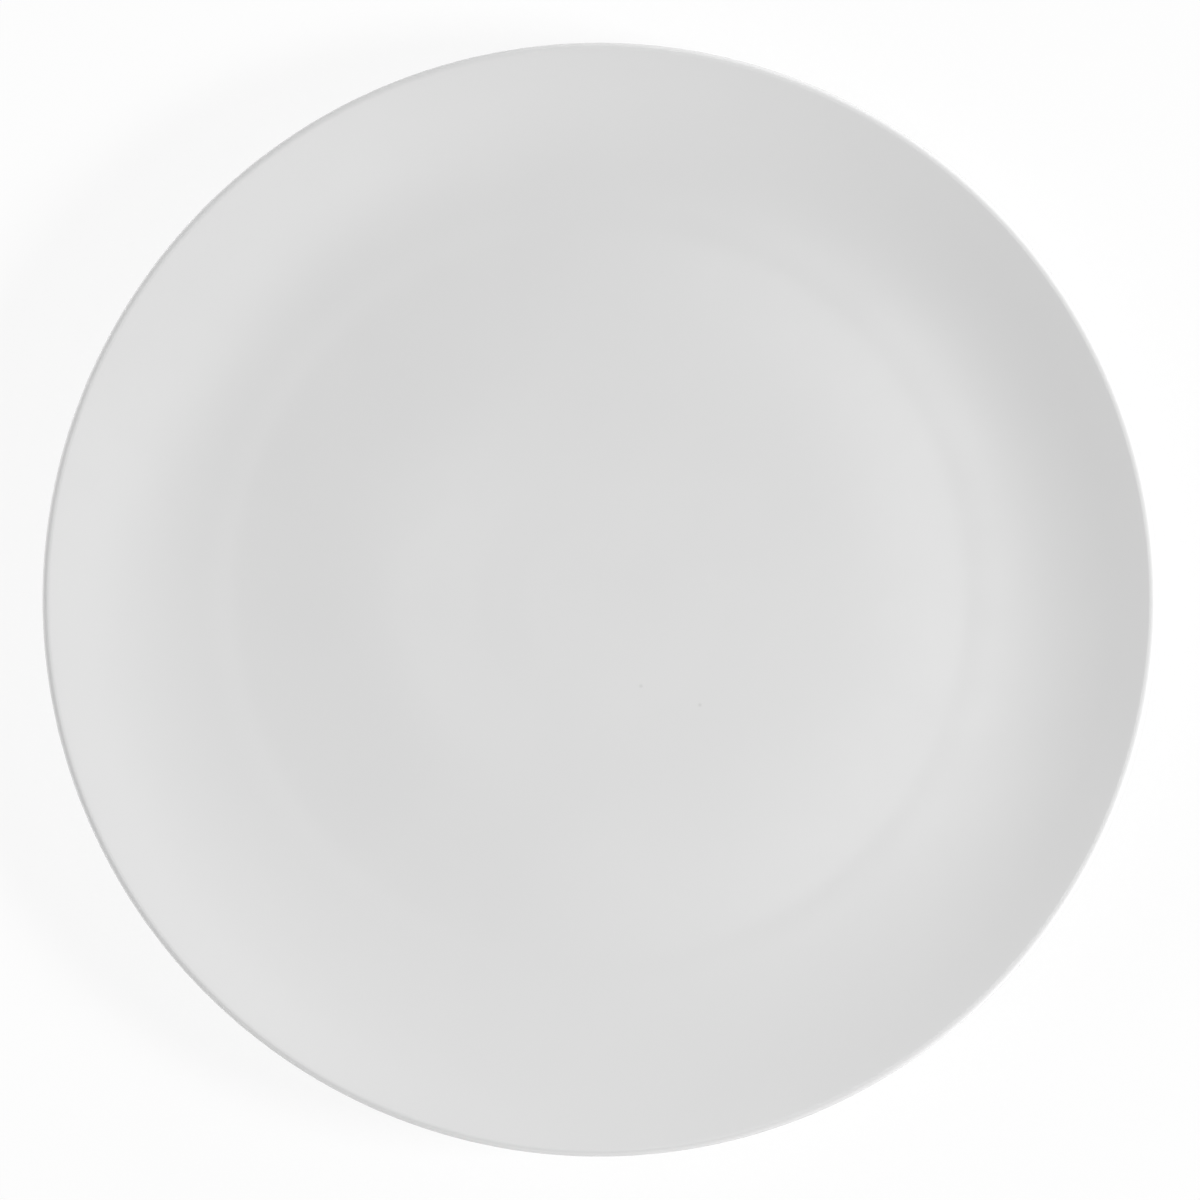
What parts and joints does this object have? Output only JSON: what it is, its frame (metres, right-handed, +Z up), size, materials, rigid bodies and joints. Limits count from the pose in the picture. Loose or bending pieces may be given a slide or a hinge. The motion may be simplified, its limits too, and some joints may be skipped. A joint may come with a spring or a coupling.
{
  "type": "charger plate",
  "caption": "Round white stoneware charger plate in a shallow coupe form, satin glazed, with a soft crease round the well, a plain rim and a foot ring.",
  "frame": {"origin": "on the table under the plate's centre, in the plane of the foot ring's standing face", "axes": "+Z up along the plate's axis, out of its face; +X to the right and +Y to the top as the picture shows the plate from overhead"},
  "size_m": [0.32, 0.32, 0.0265],
  "materials": {
    "bisque": "matte",
    "face_glaze": "satin",
    "recess_glaze": "satin"
  },
  "bodies": {
    "root": {"clay_body": "bisque", "outer_glaze": "face_glaze", "recess_glaze": "recess_glaze"}
  },
  "joints": []
}
